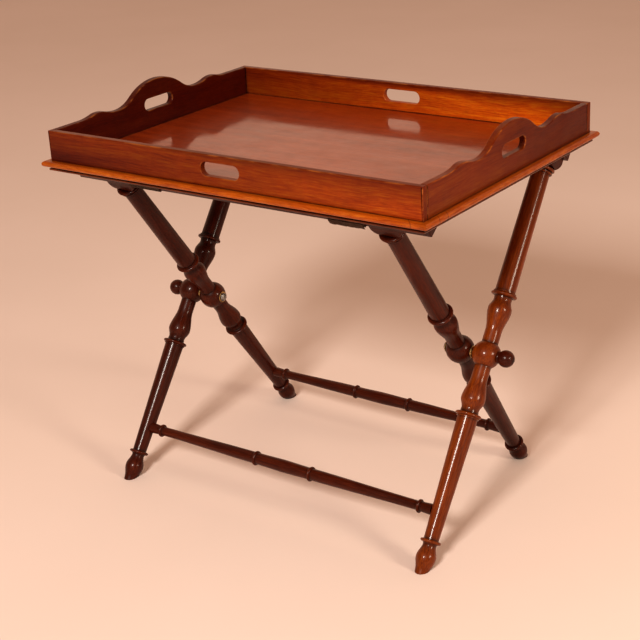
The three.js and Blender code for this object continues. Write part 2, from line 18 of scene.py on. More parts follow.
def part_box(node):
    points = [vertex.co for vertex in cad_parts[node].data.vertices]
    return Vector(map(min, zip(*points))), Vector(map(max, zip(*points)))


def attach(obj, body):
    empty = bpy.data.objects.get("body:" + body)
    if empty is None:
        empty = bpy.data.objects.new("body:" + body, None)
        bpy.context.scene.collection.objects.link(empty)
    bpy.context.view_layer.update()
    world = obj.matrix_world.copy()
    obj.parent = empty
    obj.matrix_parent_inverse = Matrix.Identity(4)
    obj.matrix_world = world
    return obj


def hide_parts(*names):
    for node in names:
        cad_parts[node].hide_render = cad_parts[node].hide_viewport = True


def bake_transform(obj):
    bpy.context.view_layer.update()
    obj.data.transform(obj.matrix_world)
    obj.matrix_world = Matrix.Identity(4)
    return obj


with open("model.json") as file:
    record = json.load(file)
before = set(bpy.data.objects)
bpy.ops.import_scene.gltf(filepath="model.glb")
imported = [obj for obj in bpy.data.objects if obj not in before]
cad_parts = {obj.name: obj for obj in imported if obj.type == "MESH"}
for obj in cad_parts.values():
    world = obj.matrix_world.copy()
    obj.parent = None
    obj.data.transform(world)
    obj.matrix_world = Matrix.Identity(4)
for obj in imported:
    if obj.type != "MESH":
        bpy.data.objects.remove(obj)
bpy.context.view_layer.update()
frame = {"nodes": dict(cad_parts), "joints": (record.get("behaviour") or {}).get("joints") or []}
random.seed(1850)
bpy.context.scene.view_settings.view_transform = "Standard"
bpy.context.scene.view_settings.look = "Medium High Contrast"

MM = 0.001
ENDS = (("left", -1), ("right", 1))


# ---- Measures taken from the part, in millimetres ----


def box_mm(node):
    low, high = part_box(node)
    return low / MM, high / MM


panel_low, panel_high = box_mm("tray_panel")
FLOOR = panel_high.z
HALF_LENGTH = panel_high.x
HALF_DEPTH = panel_high.y
GALLERY_LOW, GALLERY_TOP = box_mm("gallery_front")[0].z - FLOOR, box_mm("gallery_front")[1].z - FLOOR
GALLERY_THICKNESS = box_mm("gallery_front")[1].y - box_mm("gallery_front")[0].y
CREST_TOP = box_mm("gallery_left")[1].z - FLOOR
END_HALF = box_mm("gallery_right")[1].y
MOULDING_REACH = box_mm("edge_moulding_front")[1].x - HALF_LENGTH
MOULDING_LOW = box_mm("edge_moulding_front")[0].z - FLOOR
UNDERSIDE = box_mm("under_frame_front")[0].z - FLOOR
UNDER_TOP = box_mm("under_frame_front")[1].z - FLOOR
UNDER_REACH = box_mm("under_frame_front")[1].x - HALF_LENGTH
UNDER_INNER = box_mm("under_frame_front")[1].y + HALF_DEPTH

PIVOT = next(j for j in frame["joints"] if j["name"] == "stand_fold")["pos_m"][2] / MM
LEG_TILT = math.radians(36)
LEG_X = {
    name: (box_mm(f"{name}_leg_right")[0].x + box_mm(f"{name}_leg_right")[1].x) / 2
    for name in ("front", "back")
}
RAIL_HALF = box_mm("front_rail")[1].x
RAIL_TOP = box_mm("front_rail")[1].z
RAIL_WIDTH = 34
RAIL_FOOT = 393.7
BLOCK_HALF = (box_mm("front_block_right")[1].x - box_mm("front_block_right")[0].x) / 2
BLOCK_WIDTH = 30
BLOCK_THICKNESS = 22.5
FIT_GAP = 0.3
BLOCK_FOOT = RAIL_FOOT - FIT_GAP - BLOCK_THICKNESS
SHOULDER = BLOCK_FOOT - FIT_GAP
STRAP_LOW, STRAP_HIGH = box_mm("strap_span_right")
STRAP_X = (STRAP_LOW.x + STRAP_HIGH.x) / 2
STRAP_HALF_WIDTH = (STRAP_HIGH.x - STRAP_LOW.x) / 2
STRETCHER_DROP = 300
KNOB_RADIUS = 16
CROSSING_FLAT = 25.6  # flats on a leg's middle ball, from the leg's axis


# ---- Meshes ----


def place_frame(name):
    """From a stand frame's own axes, with the legs along Z through the pivot, to the part's."""
    tilt = LEG_TILT if name == "front" else -LEG_TILT
    return Matrix.Translation((0, 0, PIVOT * MM)) @ Matrix.Rotation(tilt, 4, "X")


def clean(mesh, cut_at_ground=False):
    """Outward faces, smooth except at real edges, and cut off level at the ground if asked."""
    b = bmesh.new()
    b.from_mesh(mesh)
    if cut_at_ground:
        parts = b.verts[:] + b.edges[:] + b.faces[:]
        bmesh.ops.bisect_plane(b, geom=parts, plane_co=(0, 0, 0.00005), plane_no=(0, 0, -1), clear_outer=True)
        bmesh.ops.holes_fill(b, edges=[e for e in b.edges if e.is_boundary], sides=0)
    bmesh.ops.recalc_face_normals(b, faces=b.faces)
    b.to_mesh(mesh)
    b.free()
    mesh.shade_smooth()
    mesh.set_sharp_from_angle(angle=math.radians(38))


def piece(
    name, points, faces, place, along, body, slot, stands_for,
    wear=None, darkening=None, cut_at_ground=False, tone=None,
):
    """A piece of the object. `along` is the axis of its own that its grain follows. Per point, `wear` is
    how rubbed it is. Two more values darken it: one in its hollows, joints and cracks, and `tone`,
    painted shade and light, darker and redder where less light falls on it."""
    own = np.array(points, float) * MM
    mesh = bpy.data.meshes.new(name)
    mesh.from_pydata([place @ Vector(p) for p in own], [], faces)
    order = {0: (0, 1, 2), 1: (1, 0, 2), 2: (2, 1, 0)}[along]
    lay_grain(mesh, own[:, order])
    for label, values in (("wear", wear), ("darkening", darkening), ("tone", tone)):
        layer = mesh.attributes.new(label, "FLOAT", "POINT")
        layer.data.foreach_set("value", np.zeros(len(own)) if values is None else np.array(values, float))
    clean(mesh, cut_at_ground)
    mesh.materials.append(MATERIALS[slot])
    obj = bpy.data.objects.new(name, mesh)
    bpy.context.collection.objects.link(obj)
    if body:
        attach(obj, body)
    if stands_for:
        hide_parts(*stands_for)
    return obj


def lay_grain(mesh, coordinates):
    """Stores where each point lies in the plank that the piece was cut from."""
    shift = np.array([random.uniform(-9, 9) for _ in range(3)])
    layer = mesh.attributes.new("grain", "FLOAT_VECTOR", "POINT")
    layer.data.foreach_set("vector", (coordinates + shift).astype(np.float32).ravel())


def inset(loop, distance):
    """A closed outline moved inwards, with its corners kept."""
    out = []
    count = len(loop)
    for i, (x, y) in enumerate(loop):
        before, after = loop[i - 1], loop[(i + 1) % count]
        a = Vector((x - before[0], y - before[1])).normalized()
        b = Vector((after[0] - x, after[1] - y)).normalized()
        reach = distance / max(0.2, 1 + a.dot(b))
        out.append((x - (a.y + b.y) * reach, y + (a.x + b.x) * reach))
    return out


def slab(outline, holes, depth, edge):
    """A board: an outline (counter-clockwise) with holes (clockwise) and a depth, its edges rounded.
    Returns points (u, v, depth), faces, and how much each point stands out on an edge."""
    fade = edge + 1.4
    steps = 4
    rings = [(fade, 0, 0.0), (edge, 0, 0.35)]
    for k in range(1, steps + 1):
        angle = math.pi / 2 * k / steps
        rings.append((edge * (1 - math.sin(angle)), edge * (1 - math.cos(angle)), 1.0 if k < steps else 0.4))
    rings.append((0, fade, 0.0))
    rings += [(amount, depth - at, worn) for amount, at, worn in reversed(rings)]
    loops = [outline, *holes]
    points, wear, faces, starts = [], [], [], []
    for amount, at, worn in rings:
        starts.append([])
        for loop in loops:
            starts[-1].append(len(points))
            for u, v in inset(loop, amount):
                points.append((u, v, at))
                wear.append(worn)
    for k in range(len(rings) - 1):
        for n, loop in enumerate(loops):
            a, b = starts[k][n], starts[k + 1][n]
            for i in range(len(loop)):
                j = (i + 1) % len(loop)
                faces.append((a + i, a + j, b + j, b + i))
    for k in (0, len(rings) - 1):
        flat = [
            [Vector((*points[starts[k][n] + i][:2], 0)) for i in range(len(loop))]
            for n, loop in enumerate(loops)
        ]
        first = starts[k][0]
        faces += [tuple(first + i for i in triangle) for triangle in tessellate_polygon(flat)]
    return points, faces, wear


def rounded(corners, radius, steps=4):
    """The outline with an arc in place of each corner."""
    out = []
    for i, corner in enumerate(corners):
        c = Vector(corner)
        a = (Vector(corners[i - 1]) - c).normalized()
        b = (Vector(corners[(i + 1) % len(corners)]) - c).normalized()
        half = a.angle(b) / 2
        reach = radius / math.tan(half)
        centre = c + (a + b).normalized() * (radius / math.sin(half))
        start, end = c + a * reach - centre, c + b * reach - centre
        turn = math.atan2(start.x * end.y - start.y * end.x, start.dot(end))
        for k in range(steps + 1):
            angle = turn * k / steps
            spin = Matrix.Rotation(angle, 2)
            point = centre + spin @ start
            out.append((point.x, point.y))
    return out


def with_stations(profile, longest=5.0):
    """The same profile with stations added, so that none of its stretches is long."""
    out = [profile[0]]
    for (h0, r0), (h1, r1) in zip(profile, profile[1:]):
        count = max(1, math.ceil(abs(h1 - h0) / longest))
        out += [(h0 + (h1 - h0) * i / count, r0 + (r1 - r0) * i / count) for i in range(1, count + 1)]
    return out


def protrusion(profile, window=5.0):
    """How far each station of a profile stands out from its neighbourhood (positive) or lies below it."""
    heights, radii = np.array(profile, float).T
    even = np.arange(heights[0] - 3 * window, heights[-1] + 3 * window, 0.5)
    sampled = np.interp(even, heights, radii)
    bell = np.exp(-((np.arange(-2.5 * window, 2.5 * window, 0.5) / window) ** 2))
    smoothed = np.convolve(sampled, bell / bell.sum(), "same")
    return radii - np.interp(heights, even, smoothed)


def lathe(profile, sides):
    """Points, faces, wear and darkening of a turned piece, its axis along Z: worn where it stands out, drawn
    darker in its hollows.
    """
    points, faces, wear, darkening = [], [], [], []
    profile = with_stations(profile)
    stands_out = protrusion(profile)
    for k, (height, radius) in enumerate(profile):
        for i in range(sides):
            angle = 2 * math.pi * i / sides
            points.append((radius * math.cos(angle), radius * math.sin(angle), height))
            wear.append(min(1.0, max(0.0, stands_out[k] / 2.5)))
            darkening.append(min(1.0, max(0.0, -stands_out[k] / 1.8)))
        if k:
            a, b = (k - 1) * sides, k * sides
            faces += [(a + i, a + (i + 1) % sides, b + (i + 1) % sides, b + i) for i in range(sides)]
    last = (len(profile) - 1) * sides
    faces.append(tuple(range(sides)))
    faces.append(tuple(last + i for i in range(sides)))
    return points, faces, wear, darkening


def run_to(profile, height, radius, steps=12):
    """An S-shaped run on from the end of a profile."""
    start_height, start_radius = profile[-1]
    for i in range(1, steps + 1):
        eased = (1 - math.cos(math.pi * i / steps)) / 2
        at_height = start_height + (height - start_height) * i / steps
        profile.append((at_height, start_radius + (radius - start_radius) * eased))


def bead(profile, centre, half_width, radius, base, steps=12):
    """A rounded ring standing on a shaft."""
    for i in range(steps + 1):
        angle = -math.pi / 2 + math.pi * i / steps
        profile.append((centre + half_width * math.sin(angle), base + (radius - base) * math.cos(angle)))


# ---- Materials ----


class Shader:
    """A material's node tree, written as nested calls."""

    def __init__(self, name):
        self.material = bpy.data.materials.new(name)
        self.material.use_nodes = True
        self.tree = self.material.node_tree
        self.tree.nodes.clear()

    def add(self, kind, settings=None, output=0, **inputs):
        node = self.tree.nodes.new("ShaderNode" + kind)
        for key, value in (settings or {}).items():
            setattr(node, key, value)
        for key, value in inputs.items():
            by_number = key[0] == "i" and key[1:].isdigit()
            found = node.inputs[int(key[1:]) if by_number else key.replace("_", " ")]
            self.give(found, value)
        return node.outputs[output]

    def give(self, socket, value):
        if isinstance(value, bpy.types.NodeSocket):
            self.tree.links.new(value, socket)
        elif socket.type == "RGBA" and len(value) == 3:
            socket.default_value = (*value, 1)
        else:
            socket.default_value = value

    def attribute(self, name, output):
        return self.add("Attribute", {"attribute_name": name}, output)

    def noise(self, vector, scale, detail=3.0, roughness=0.5):
        stretched = self.add("VectorMath", {"operation": "MULTIPLY"}, i0=vector, i1=scale)
        return self.add("TexNoise", None, 0, Vector=stretched, Scale=1.0, Detail=detail, Roughness=roughness)

    def math(self, operation, a, b=0.0):
        return self.add("Math", {"operation": operation}, i0=a, i1=b)

    def fit(self, value, low, high, to_low=0.0, to_high=1.0):
        return self.add(
            "MapRange", None, 0, Value=value, From_Min=low, From_Max=high, To_Min=to_low, To_Max=to_high
        )

    def mix(self, factor, a, b, blend="MIX"):
        node = self.tree.nodes.new("ShaderNodeMix")
        node.data_type = "RGBA"
        node.blend_type = blend
        self.give(node.inputs[0], factor)
        self.give(node.inputs[6], a)
        self.give(node.inputs[7], b)
        return node.outputs[2]

    def ramp(self, factor, stops):
        node = self.tree.nodes.new("ShaderNodeValToRGB")
        while len(node.color_ramp.elements) < len(stops):
            node.color_ramp.elements.new(0.5)
        for element, (at, colour) in zip(node.color_ramp.elements, stops):
            element.position = at
            element.color = (*colour, 1)
        self.tree.links.new(factor, node.inputs[0])
        return node.outputs[0]

    def bump(self, height, distance, strength=1.0):
        return self.add("Bump", None, 0, Height=height, Distance=distance, Strength=strength)

    def surface(self, **inputs):
        principled = self.add("BsdfPrincipled", None, 0, **inputs)
        output = self.tree.nodes.new("ShaderNodeOutputMaterial")
        self.tree.links.new(principled, output.inputs[0])
        return self.material


def mahogany(name, dark, mid, light, worn, contrast=1.0, gloss=0.06, coat=0.5):
    """French-polished mahogany: figure and pores along the grain, mottle, thinner polish on edges, and
    painted shade and light.
    """
    s = Shader(name)
    grain = s.attribute("grain", 1)
    drift = s.add("TexNoise", None, 1, Vector=grain, Scale=4.0, Detail=2.0)
    drift = s.add("VectorMath", {"operation": "MULTIPLY"}, i0=drift, i1=(0.05, 0.02, 0.02))
    bent = s.add("VectorMath", {"operation": "ADD"}, i0=grain, i1=drift)
    bands = s.noise(bent, (1.3, 42, 42), 3.0, 0.55)
    streaks = s.noise(bent, (24, 480, 480), 4.0, 0.65)
    pores = s.noise(grain, (75, 1300, 1300), 2.0, 0.5)
    mottle = s.noise(bent, (48, 22, 22), 3.0, 0.6)
    patches = s.noise(grain, (4, 9, 9), 2.0, 0.5)
    figure = s.math("ADD", s.math("MULTIPLY", bands, 0.45), s.math("MULTIPLY", streaks, 0.55))
    spread = 0.14 / contrast
    colour = s.ramp(figure, [(0.5 - spread, dark), (0.5, mid), (0.5 + spread, light)])
    shade = s.math("MULTIPLY", s.fit(mottle, 0.32, 0.68, 0.94, 1.06), s.fit(patches, 0.3, 0.7, 0.86, 1.12))
    grey = s.add("CombineColor", None, 0, Red=shade, Green=shade, Blue=shade)
    colour = s.mix(1.0, colour, grey, "MULTIPLY")
    # Painted shade and light: a high tone paints the wood darker and redder, a low one lighter.
    colour = s.mix(s.attribute("tone", 2), colour, s.mix(1.0, colour, (0.08, 0.03, 0.04), "MULTIPLY"))
    colour = s.mix(s.fit(pores, 0.56, 0.74, 0.0, 0.5), colour, tuple(c * 0.35 for c in dark))
    scuffs = s.fit(s.noise(grain, (40, 160, 160), 3.0), 0.45, 0.68)
    rubbed = s.math("MULTIPLY", s.attribute("wear", 2), scuffs)
    colour = s.mix(s.math("MULTIPLY", rubbed, 0.32), colour, worn)
    # Painted shade: occlusion darkens narrow corners; the per-point value darkens hollows, joints and cracks.
    crease_shade = s.add("AmbientOcclusion", {"samples": 6}, 1, Distance=0.009)
    attribute_darkening = s.math("MULTIPLY", s.attribute("darkening", 2), 0.8)
    darkened = s.math("MAXIMUM", s.fit(crease_shade, 0.75, 0.2, 0.0, 0.85), attribute_darkening)
    colour = s.mix(darkened, colour, (0.012, 0.003, 0.002))
    smears = s.noise(grain, (14, 22, 22), 4.0, 0.6)
    pitting = s.math("ADD", s.math("MULTIPLY", pores, 0.5), s.math("MULTIPLY", streaks, 0.5))
    dulling = s.math("ADD", smears, s.math("MULTIPLY", rubbed, 0.4))
    return s.surface(
        Base_Color=colour,
        Roughness=s.fit(smears, 0.3, 0.7, 0.32, 0.5),
        IOR=1.45,
        Specular_IOR_Level=0.15,
        Coat_Weight=coat,
        Coat_Roughness=s.fit(dulling, 0.35, 0.9, gloss, gloss + 0.16),
        Normal=s.bump(pitting, 0.0002, 0.6),
        Coat_Normal=s.bump(s.noise(grain, (9, 16, 16), 2.0), 0.0004, 0.35),
    )


def webbing(name):
    """Coarse twill webbing, aged brown and dusty."""
    s = Shader(name)
    grain = s.attribute("grain", 1)
    thread = s.add("VectorMath", {"operation": "MULTIPLY"}, i0=grain, i1=(2600.0, 2600.0, 1.0))
    split = s.tree.nodes.new("ShaderNodeSeparateXYZ")
    s.tree.links.new(thread, split.inputs[0])
    along, across = split.outputs[0], split.outputs[1]
    twill = s.math("SINE", s.math("MULTIPLY", s.math("ADD", along, across), 0.5))
    weft = s.math("SINE", along)
    warp = s.math("SINE", across)
    weave = s.math("ADD", s.math("MULTIPLY", weft, warp), s.math("MULTIPLY", twill, 0.6))
    fuzz = s.noise(grain, (900, 900, 900), 3.0, 0.6)
    dirt = s.noise(grain, (38, 38, 38), 4.0, 0.6)
    colour = s.mix(s.fit(weave, -1.2, 1.2), (0.024, 0.009, 0.003), (0.09, 0.034, 0.01))
    colour = s.mix(s.fit(dirt, 0.4, 0.65, 0.0, 0.7), colour, (0.02, 0.007, 0.002))
    colour = s.mix(s.fit(fuzz, 0.55, 0.75, 0.0, 0.5), colour, (0.15, 0.062, 0.022))
    height = s.math("ADD", weave, s.math("MULTIPLY", fuzz, 1.5))
    return s.surface(
        Base_Color=colour,
        Roughness=s.fit(dirt, 0.3, 0.7, 0.8, 0.97),
        Sheen_Weight=0.04,
        Normal=s.bump(height, 0.0003, 0.9),
    )


def metal(name, clean_colour, dull_colour, roughness, share):
    """Metal under a patchy tarnish, with fine scratches."""
    s = Shader(name)
    grain = s.attribute("grain", 1)
    patches = s.noise(grain, (160, 160, 160), 5.0, 0.65)
    scratches = s.noise(grain, (60, 2500, 700), 2.0, 0.5)
    dulled = s.fit(patches, 0.62 - share * 0.35, 0.8 - share * 0.35)
    roughened = s.math("ADD", dulled, s.math("MULTIPLY", scratches, 0.3))
    return s.surface(
        Base_Color=s.mix(dulled, clean_colour, dull_colour),
        Metallic=1.0,
        Roughness=s.fit(roughened, 0.0, 1.3, roughness, roughness + 0.32),
        Normal=s.bump(s.math("ADD", scratches, s.math("MULTIPLY", patches, 0.8)), 0.00012, 0.6),
    )


def painted_floor(name):
    """The pale floor: matt, very slightly uneven in tone."""
    s = Shader(name)
    where = s.add("NewGeometry", None, 0)
    tone = s.noise(where, (0.9, 0.9, 0.9), 4.0, 0.55)
    return s.surface(
        Base_Color=s.mix(s.fit(tone, 0.3, 0.7), (0.82, 0.665, 0.59), (0.86, 0.7, 0.63)),
        Roughness=0.9,
        Specular_IOR_Level=0.1,
    )


MATERIALS = {
    "gallery": mahogany(
        "Gallery mahogany",
        (0.4, 0.036, 0.001), (0.76, 0.13, 0.004),
        (1.0, 0.3, 0.012), (0.6, 0.22, 0.05),
        contrast=0.8, gloss=0.06, coat=0.12,
    ),
    "floor": mahogany(
        "Tray floor mahogany",
        (0.14, 0.014, 0.001), (0.26, 0.034, 0.003),
        (0.36, 0.06, 0.006), (0.5, 0.2, 0.06),
        contrast=0.7, gloss=0.045, coat=0.85,
    ),
    "moulding": mahogany(
        "Moulding mahogany",
        (0.32, 0.037, 0.001), (0.6, 0.125, 0.004),
        (0.8, 0.23, 0.01), (0.8, 0.34, 0.09),
        contrast=0.8, gloss=0.06, coat=0.35,
    ),
    "under": mahogany(
        "Underside mahogany",
        (0.03, 0.005, 0.001), (0.09, 0.015, 0.002),
        (0.17, 0.036, 0.005), (0.34, 0.09, 0.02),
    ),
    "stand": mahogany(
        "Stand mahogany",
        (0.018, 0.002, 0.0006), (0.048, 0.006, 0.001),
        (0.1, 0.015, 0.002), (0.15, 0.027, 0.004),
        contrast=0.75, gloss=0.06, coat=0.22,
    ),
    # Painted light: a lighter copy of the stand's mahogany, for the one leg painted as if lit from the right.
    "painted_lit_leg": mahogany(
        "Painted lit leg mahogany",
        (0.05, 0.006, 0.001), (0.14, 0.024, 0.002),
        (0.26, 0.055, 0.004), (0.26, 0.07, 0.01),
        contrast=0.75, gloss=0.06, coat=0.3,
    ),
    "webbing": webbing("Twill webbing"),
    "brass": metal("Old brass", (0.62, 0.43, 0.19), (0.2, 0.12, 0.055), 0.28, 0.6),
    "steel": metal("Dark steel", (0.33, 0.32, 0.31), (0.1, 0.075, 0.06), 0.35, 0.5),
}


# ---- Tray ----

SIDES = (
    ("front", 0, HALF_LENGTH, HALF_DEPTH),
    ("right", 90, HALF_DEPTH, HALF_LENGTH),
    ("back", 180, HALF_LENGTH, HALF_DEPTH),
    ("left", 270, HALF_DEPTH, HALF_LENGTH),
)
# Stadium-shaped holes: half length, half height, height of the centre above the tray's floor.
LONG_HAND_HOLE = (42.4, 12.8, 30.8)
END_HAND_HOLE = (42.0, 11.8, 46.8)
# Crest of the scalloped ends: distance from the middle, height, radius of the arc that leaves it.
CREST = ((0, CREST_TOP, 125), (118, 55.3, 110), (173, 63.7, 60), (220, GALLERY_TOP, 0))
# Cracks across the edge moulding near the front right corner: distance from the middle of the side.
MOULDING_CRACKS = {"front": (394.0,), "right": (-271.0, -245.0)}


def crest_half(steps=14):
    """The crest from its middle to one side: arcs in pairs that meet with one slope."""
    points = []
    for (at, height, radius), (next_at, next_height, _) in zip(CREST, CREST[1:]):
        run, rise = next_at - at, next_height - height
        bend = 2 * math.atan(abs(rise) / run)
        second = run / math.sin(bend) - radius
        sign = math.copysign(1, rise)
        for i in range(1, steps + 1):
            angle = bend * i / steps
            points.append((at + radius * math.sin(angle), height + sign * radius * (1 - math.cos(angle))))
        for i in range(steps - 1, -1, -1):
            angle = bend * i / steps
            fallen = sign * second * (1 - math.cos(angle))
            points.append((next_at - second * math.sin(angle), next_height - fallen))
    return points


def stadium(half_length, half_height, height, steps=14):
    """A hand hole's outline, clockwise."""
    points = []
    for way in (1, -1):
        for i in range(steps + 1):
            angle = way * (math.pi / 2) - math.pi * i / steps
            centre = way * (half_length - half_height)
            points.append((centre + half_height * math.cos(angle), height + half_height * math.sin(angle)))
    return points


def painted_light_and_shade(name, share):
    """Painted shade and light: how dark and red a side is painted, at a share of half its length from
    its middle. The long sides are lighter towards the right, where more light falls; the ends are dark.
    """
    if name in ("front", "back") and abs(share) > 0.995:
        return 0.9
    if name == "left":
        return 1.0
    if name == "right":
        return 0.92 + 0.06 * share
    if name == "front":
        return 0.8 - 0.22 * share
    return 0.64 + (0.26 if share > 0 else 0.64) * share


def gallery_board(name, turn, along_half, across_half):
    is_end = turn % 180 != 0
    half = END_HALF if is_end else along_half
    crest = crest_half() if is_end else []
    middle = [(0, CREST_TOP)] if is_end else []
    right_top = rounded([(half, GALLERY_LOW), (half, GALLERY_TOP), (0, GALLERY_TOP)], 1.2)[5:10]
    left_top = [(-u, v) for u, v in reversed(right_top)]
    outline = [(-half, GALLERY_LOW), (half, GALLERY_LOW), *right_top, *reversed(crest), *middle]
    outline += [(-u, v) for u, v in crest] + left_top
    hole = stadium(*(END_HAND_HOLE if is_end else LONG_HAND_HOLE))
    points, faces, wear = slab(outline, [hole], GALLERY_THICKNESS, 1.7)
    flat = [(u, -across_half + w, v + FLOOR) for u, v, w in points]
    darkening = [0.6 if is_end and abs(u) > half - 0.6 else 0.0 for u, _, _ in points]
    place = Matrix.Rotation(math.radians(turn), 4, "Z")
    # Painted shade and light along each board, from where the light falls on it.
    tone = [painted_light_and_shade(name, u / along_half) for u, _, _ in flat]
    node = f"gallery_{name}"
    piece(f"{name}_gallery_board", flat, faces, place, 0, "tray", "gallery", [node], wear, darkening, tone=tone)


def nose(reach, low, high, steps=20):
    radius = (high - low) / 2
    angles = [-math.pi / 2 + math.pi * i / steps for i in range(steps + 1)]
    return [(reach - radius + radius * math.cos(a), low + radius + radius * math.sin(a)) for a in angles]


def mitred_strip(section, along_half, across_half, cracks=()):
    """A strip with mitred ends. The section is (distance outside the gallery, height, wear, darkening)."""
    longest = along_half + max(s[0] for s in section)
    stations = sorted({-1.0, 1.0, *(i / 40 for i in range(-40, 41))})
    stations = [(share, 0.0) for share in stations]
    for at in cracks:
        share = at / longest
        stations += [(share - 1.2 / longest, 0.0), (share, 0.95), (share + 1.2 / longest, 0.0)]
    stations.sort()
    points, wear, darkening, faces = [], [], [], []
    count = len(section)
    for share, crack in stations:
        for out, height, worn, darkened in section:
            reach = along_half + out - FIT_GAP / 2
            wobble = 0.12 * noise.noise(Vector((share * 9, out * 0.1, across_half)))
            points.append((share * reach, -across_half - out + wobble * (out > 1), height + FLOOR))
            wear.append(worn)
            darkening.append(max(darkened, crack))
    for k in range(len(stations) - 1):
        a, b = k * count, (k + 1) * count
        faces += [(a + i, a + (i + 1) % count, b + (i + 1) % count, b + i) for i in range(count)]
    last = (len(stations) - 1) * count
    faces += [tuple(range(count)), tuple(last + i for i in range(count))]
    return points, faces, wear, darkening


def edge_moulding(name, turn, along_half, across_half):
    curve = nose(MOULDING_REACH, MOULDING_LOW, 0)
    section = [(FIT_GAP, MOULDING_LOW, 0, 0.6)]
    section += [(out, height, 0.35 if out > MOULDING_REACH - 1.5 else 0.0, 0.0) for out, height in curve]
    section += [(1.8, 0, 0, 0.0), (FIT_GAP, 0, 0, 0.9)]
    points, faces, wear, darkening = mitred_strip(section, along_half, across_half, MOULDING_CRACKS.get(name, ()))
    place = Matrix.Rotation(math.radians(turn), 4, "Z")
    # Painted shade and light as on the boards, weakened to 0.55 so the round is painted brighter: a painted
    # highlight.
    tone = [painted_light_and_shade(name, u / along_half) * 0.55 for u, _, _ in points]
    node = f"edge_moulding_{name}"
    piece(f"{name}_edge_bead", points, faces, place, 0, "tray", "moulding", [node], wear, darkening, tone=tone)


def under_frame(name, turn, along_half, across_half):
    bead_top = UNDERSIDE + 4.6
    inner = -UNDER_INNER
    section = [(inner, UNDERSIDE, 0, 0), (-4, UNDERSIDE, 0, 0)]
    section += [(out, height, 0.5, 0) for out, height in nose(UNDER_REACH, UNDERSIDE, bead_top, 12)]
    section += [(0.6, bead_top, 0, 0.5), (-1, bead_top, 0, 1)]
    section += [(-1, UNDER_TOP, 0, 1), (inner, UNDER_TOP, 0, 0)]
    points, faces, wear, darkening = mitred_strip(section, along_half, across_half)
    place = Matrix.Rotation(math.radians(turn), 4, "Z")
    node = f"under_frame_{name}"
    piece(f"{name}_underside_strip", points, faces, place, 0, "tray", "under", [node], wear, darkening)


def screw_head(number):
    """A slotted brass head, set a hair proud of the underside."""
    low, high = box_mm(f"tray_screw_{number}")
    x, y = (low.x + high.x) / 2, (low.y + high.y) / 2
    radius, slot_half, proud, slot_depth = 4.2, 0.5, 0.12, 1.0
    slot_floor = low.z + slot_depth
    profile = [(slot_floor, 1.0), (slot_floor, radius - 0.4), (slot_floor - 0.1, radius - 0.4)]
    points, faces, _, _ = lathe([(z, r) for z, r in profile], 40)
    start = math.asin(slot_half / radius)
    for way in (1, -1):
        base = len(points)
        arc = [start + (math.pi - 2 * start) * i / 24 for i in range(25)]
        rim = [(radius * math.cos(a), way * radius * math.sin(a)) for a in arc]
        for z, shrink in ((low.z + slot_depth, 1.0), (low.z + 0.1, 1.0), (low.z - proud, 0.93)):
            points += [(u * shrink, max(abs(v) * shrink, slot_half) * way, z) for u, v in rim]
        for k in (0, 25):
            near, far = base + k, base + k + 25
            faces += [(near + i, near + (i + 1) % 25, far + (i + 1) % 25, far + i) for i in range(25)]
        faces += [tuple(base + 50 + i for i in range(25)), tuple(base + i for i in range(25))]
    spin = Matrix.Rotation(random.uniform(0, math.pi), 4, "Z")
    place = Matrix.Translation((x * MM, y * MM, 0)) @ spin
    piece(f"slotted_head_{number}", points, faces, place, 0, "tray", "brass", [f"tray_screw_{number}"])


for side in SIDES:
    gallery_board(*side)
    edge_moulding(*side)
    under_frame(*side)
for number in range(1, 9):
    screw_head(number)

panel = frame["nodes"]["tray_panel"]
panel_points = np.array([v.co for v in panel.data.vertices], float)
lay_grain(panel.data, panel_points)
panel.data.materials.clear()
panel.data.materials.append(MATERIALS["floor"])


# ---- Stand ----


def leg_profile():
    """(height along the leg from the pivot, radius), from the foot to the shoulder."""
    upper = [(45, 15.5)]
    run_to(upper, 87, 22.4, 16)
    run_to(upper, 106, 16.5, 12)
    upper.append((111.5, 17.2))
    bead(upper, 116, 3.4, 24.5, 19.2)
    upper += [(119.6, 21.2), (121.4, 21.2), (121.6, 19.2)]
    profile = [(-440, 11), (-412, 13)]
    run_to(profile, -386, 18.5)
    run_to(profile, -362, 12.5)
    bead(profile, -356, 3.4, 19.5, 14)
    profile += [(-height, radius) for height, radius in reversed(upper)]
    start = math.acos(15.5 / 27)
    profile += [(27 * math.sin(a), 27 * math.cos(a)) for a in np.linspace(-start, start, 25)]
    profile += upper
    profile += [(SHOULDER - 12.6, 17.5), (SHOULDER - 12.4, 20.2)]
    bead(profile, SHOULDER - 10.6, 1.5, 21.4, 20.2, 6)
    profile += [(SHOULDER - 8.9, 20.2), (SHOULDER - 8.6, 18.2), (SHOULDER - 7.2, 18.2)]
    bead(profile, SHOULDER - 3.5, 3.4, 24.5, 18.2)
    profile.append((SHOULDER, 14))
    return profile


def stretcher_leg_radius():
    share = (STRETCHER_DROP - 121.4) / (352.6 - 121.4)
    return 19.2 + (14 - 19.2) * share


def turned_leg(name, end, way):
    profile = leg_profile()
    points, faces, wear, darkening = lathe(profile, 72)
    flat = CROSSING_FLAT
    points = [(min(flat, max(-flat, u)) if abs(w) < 32 else u, v, w) for u, v, w in points]
    place = place_frame(name) @ Matrix.Translation((way * LEG_X[name] * MM, 0, 0))
    node = f"{name}_leg_{end}"
    # Painted light: a lighter copy of the stand's wood, for the back frame's right-hand leg, lit from the
    # right.
    wood = "painted_lit_leg" if (name, end) == ("back", "right") else "stand"
    body = f"{name}_frame"
    piece(f"{name}_turned_leg_{end}", points, faces, place, 2, body, wood, [node], wear, darkening, True)


